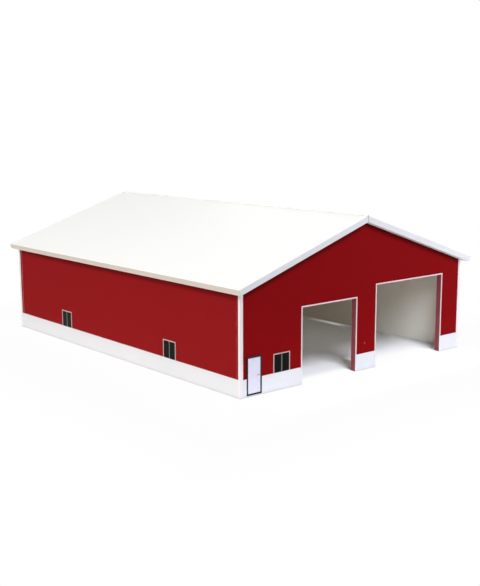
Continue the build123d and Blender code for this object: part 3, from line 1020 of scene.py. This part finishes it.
class SHED_OT_stage(bpy.types.Operator):
    """Makes the floor, the sky, the softboxes and the camera"""
    bl_idname = "shed.make_stage"
    bl_label = "Stage"

    def execute(self, context):
        studio = context.scene.shed_studio
        self.make_sky(context.scene, studio)
        self.make_floor(context.scene, studio)
        self.make_lights(studio)
        self.make_camera(context.scene, studio)
        context.scene.view_settings.view_transform = "Standard"
        return {"FINISHED"}

    def make_sky(self, scene, studio):
        """An even sky, white where it is seen and dimmer where it lights the model."""
        world = bpy.data.worlds.new("studio")
        world.use_nodes = True
        scene.world = world
        tree = world.node_tree
        back = tree.nodes["Background"]
        back.inputs["Color"].default_value = (1.0, 1.0, 1.0, 1.0)
        strength = ramp(tree, seen_directly(tree), 0.0, 1.0, studio.sky_strength, 1.0)
        tree.links.new(strength, back.inputs["Strength"])

    def make_floor(self, scene, studio):
        """A sheet of paper under and in front of the model, and four sheets around it."""
        low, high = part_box("front_gable_wall")
        left, right, rear = low.x, high.x, -low.y
        front = low.y - studio.front_paper
        inner = ((left, front), (right, front), (right, rear), (left, rear))
        outer = [(PAPER_REACH * x, PAPER_REACH * y) for x, y in ((-1, -1), (1, -1), (1, 1), (-1, 1))]
        paper = self.floor_paper(scene.shed_colours, studio, right, rear)
        self.add_sheet(scene, "floor", [inner], paper)
        sides = [(outer[i - 1], outer[i], inner[i], inner[i - 1]) for i in (1, 2, 3, 0)]
        self.add_sheet(scene, "floor_around", sides, paper)

    def add_sheet(self, scene, name, outlines, paper):
        """Flat faces at floor level."""
        shape = bmesh.new()
        for outline in outlines:
            shape.faces.new([shape.verts.new((x, y, 0.0)) for x, y in outline])
        bmesh.ops.remove_doubles(shape, verts=shape.verts, dist=MERGE_DISTANCE)
        mesh = mesh_of(shape, name)
        mesh.materials.append(paper)
        sheet = bpy.data.objects.new(name, mesh)
        scene.collection.objects.link(sheet)

    def floor_paper(self, colours, studio, half_width, half_length):
        """Matt paper with a painted contact shadow where the walls touch it, and a painted streak of light and
        painted shade along the right wall inside. It is lifted to white where it is seen directly, and lifted as
        painted light into the mouths of the bays.
        """
        paint = Paint("floor paper", Roughness=0.9, Specular_IOR_Level=0.0)
        tree = paint.tree
        split = split_place(tree, paint.place)
        past_x = maths(tree, "SUBTRACT", maths(tree, "ABSOLUTE", split["X"]), half_width)
        past_y = maths(tree, "SUBTRACT", maths(tree, "ABSOLUTE", split["Y"]), half_length)
        past = maths(tree, "MAXIMUM", past_x, past_y)
        inward = maths(tree, "ADD", split["Y"], half_length)
        mouths = self.bay_mouths(tree, split["X"], inward, studio)
        streak, shade = self.right_wall_foot(tree, split["X"], inward, studio)

        wide = paint.mix(ramp(tree, past, *TONED_DOWN, smooth=True), colours.floor, colours.floor_around)
        # Painted contact shadow along the walls' foot, left out in the bays' mouths, and the painted shade along
        # the right wall
        foot = ramp(tree, maths(tree, "ABSOLUTE", past), *CONTACT_SHADOW_REACH)
        contact_shadow_under_walls = times(tree, foot, maths(tree, "SUBTRACT", 1.0, mouths))
        painted_shadows = maths(tree, "MAXIMUM", contact_shadow_under_walls, shade)
        paper = paint.mix(painted_shadows, wide, colours.floor_contact)
        tone = paint.add("slow tone", Colour=paper, Patch_Size=0.3, Amount=0.01)
        tree.links.new(tone["Colour"], paint.shader.inputs["Base Color"])

        contact = ramp(tree, past, *CONTACT_LIFTED, 0.0, studio.contact_lift)
        near = ramp(tree, past, *NEAR_LIFTED, 0.0, studio.near_lift - studio.contact_lift)
        beside = maths(tree, "ADD", contact, near)
        # Inside the bays this lift is painted light
        close = maths(tree, "MAXIMUM", beside, times(tree, mouths, studio.near_lift))
        far = ramp(tree, past, *FAR_LIFTED, 0.0, 1.0 - studio.near_lift, smooth=True)
        lift = maths(tree, "ADD", maths(tree, "MAXIMUM", close, streak), far)
        white = add_node(tree, "ShaderNodeEmission", {"Color": (1.0, 1.0, 1.0), "Strength": 1.0})
        mix = add_node(tree, "ShaderNodeMixShader", {
            0: times(tree, lift, seen_directly(tree)), 1: paint.shader.outputs["BSDF"],
            2: white.outputs["Emission"]})
        tree.links.new(mix.outputs["Shader"], tree.nodes["Material Output"].inputs["Surface"])
        return paint.material

    def right_wall_foot(self, tree, x, inward, studio):
        """The streak of light on the floor inside the right wall, and the shade nearer the front."""
        from_wall = maths(tree, "SUBTRACT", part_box("right_side_wall")[0].x, x)
        near_edge, far_edge = [ramp(tree, from_wall, *reach) for reach in STREAK_ACROSS]
        start, end = [ramp(tree, inward, *reach) for reach in STREAK_ALONG]
        streak = times(tree, near_edge, far_edge, start, end, studio.foot_light)
        beside_wall = ramp(tree, from_wall, *SHADE_ACROSS, 0.0, studio.foot_shade)
        near_front = ramp(tree, inward, *SHADE_ALONG)
        behind_front = maths(tree, "GREATER_THAN", inward, 0.0)
        inside_wall = maths(tree, "GREATER_THAN", from_wall, 0.0)
        shade = times(tree, beside_wall, near_front, behind_front, inside_wall)
        return streak, shade

    def bay_mouths(self, tree, x, inward, studio):
        """Painted light on the floor: one in front of the bays and just inside them, and nothing deeper in or
        beside them. In front it is the white floor; inside the bays it is painted light.
        """
        reaches = {"left_bay": studio.left_bay_reach, "right_bay": studio.right_bay_reach}
        mouths = 0.0
        for opening in frame["record"]["physics"]["openings"]:
            if opening["name"] in reaches:
                reach = reaches[opening["name"]]
                low, high = opening["box_m"]
                open_ground = ramp(tree, inward, reach, 0.3 * reach, smooth=True)
                right_of = maths(tree, "GREATER_THAN", x, low[0])
                left_of = maths(tree, "LESS_THAN", x, high[0])
                mouths = maths(tree, "ADD", times(tree, open_ground, right_of, left_of), mouths)
        return mouths

    def make_lights(self, studio):
        """The softboxes, and the three that light, or spare, one object."""
        lamps = {name: self.softbox(studio, name, **values) for name, values in SOFTBOXES.items()}
        for lamp_name, object_name, state in LAMP_LINKS:
            lamp = lamps[lamp_name]
            told = bpy.data.collections.new("linked to " + lamp.name)
            told.objects.link(bpy.data.objects[object_name])
            told.collection_objects[0].light_linking.link_state = state
            lamp.light_linking.receiver_collection = told

    def softbox(self, studio, name, place, aim, size, tint=None):
        """A square area light, not seen by the camera."""
        light = bpy.data.lights.new(name + "_softbox", "AREA")
        light.shape = "SQUARE"
        light.size = size
        light.energy = getattr(studio, name + "_power")
        if tint:
            light.color = getattr(studio, tint)
        lamp = bpy.data.objects.new(light.name, light)
        lamp.location = place
        direction = Vector(aim) - Vector(place)
        lamp.rotation_mode = "QUATERNION"
        lamp.rotation_quaternion = direction.to_track_quat("-Z", "Y")
        lamp.visible_camera = False
        bpy.context.scene.collection.objects.link(lamp)
        return lamp

    def make_camera(self, scene, studio):
        """The camera, placed and turned as the studio's values say."""
        camera = bpy.data.cameras.new("camera")
        camera.lens = studio.focal_length
        camera.sensor_width = 36.0
        camera.clip_start = 0.01
        camera.clip_end = 50.0
        stand = bpy.data.objects.new("camera", camera)
        scene.collection.objects.link(stand)
        stand.location = studio.camera_place
        heading, tilt, roll = studio.camera_heading, studio.camera_tilt, studio.camera_roll
        ahead = math.cos(tilt)
        forward = Vector((math.sin(heading) * ahead, math.cos(heading) * ahead, -math.sin(tilt)))
        level = Vector((math.cos(heading), -math.sin(heading), 0.0))
        upright = level.cross(forward)
        right = level * math.cos(roll) + upright * math.sin(roll)
        up = upright * math.cos(roll) - level * math.sin(roll)
        stand.rotation_mode = "QUATERNION"
        stand.rotation_quaternion = Matrix((right, up, -forward)).transposed().to_quaternion()
        scene.camera = stand


OPERATORS = (SHED_OT_walls, SHED_OT_roof, SHED_OT_strips, SHED_OT_hinge, SHED_OT_nails,
             SHED_OT_door, SHED_OT_windows, SHED_OT_stage)
SETTINGS = {"shed_sizes": ShedSizes, "shed_colours": ShedColours, "shed_studio": ShedStudio}


class SHED_PT_sidebar(bpy.types.Panel):
    """Lists what makes the shed, with its sizes and colours"""
    bl_idname = "SHED_PT_sidebar"
    bl_label = "Machine shed"
    bl_space_type = "VIEW_3D"
    bl_region_type = "UI"
    bl_category = "Machine shed"

    def draw(self, context):
        for operator in OPERATORS:
            self.layout.operator(operator.bl_idname)
        for name, settings in SETTINGS.items():
            box = self.layout.box()
            for key in settings.__annotations__:
                box.prop(getattr(context.scene, name), key)


CLASSES = (*SETTINGS.values(), *OPERATORS, SHED_PT_sidebar)


def register():
    for made in CLASSES:
        bpy.utils.register_class(made)
    for name, settings in SETTINGS.items():
        setattr(bpy.types.Scene, name, bpy.props.PointerProperty(type=settings))


def unregister():
    for name in SETTINGS:
        delattr(bpy.types.Scene, name)
    for made in reversed(CLASSES):
        bpy.utils.unregister_class(made)


def main():
    """Makes the whole shed."""
    register()
    for operator in OPERATORS:
        group, name = operator.bl_idname.split(".")
        getattr(getattr(bpy.ops, group), name)()


if __name__ == "__main__":
    main()
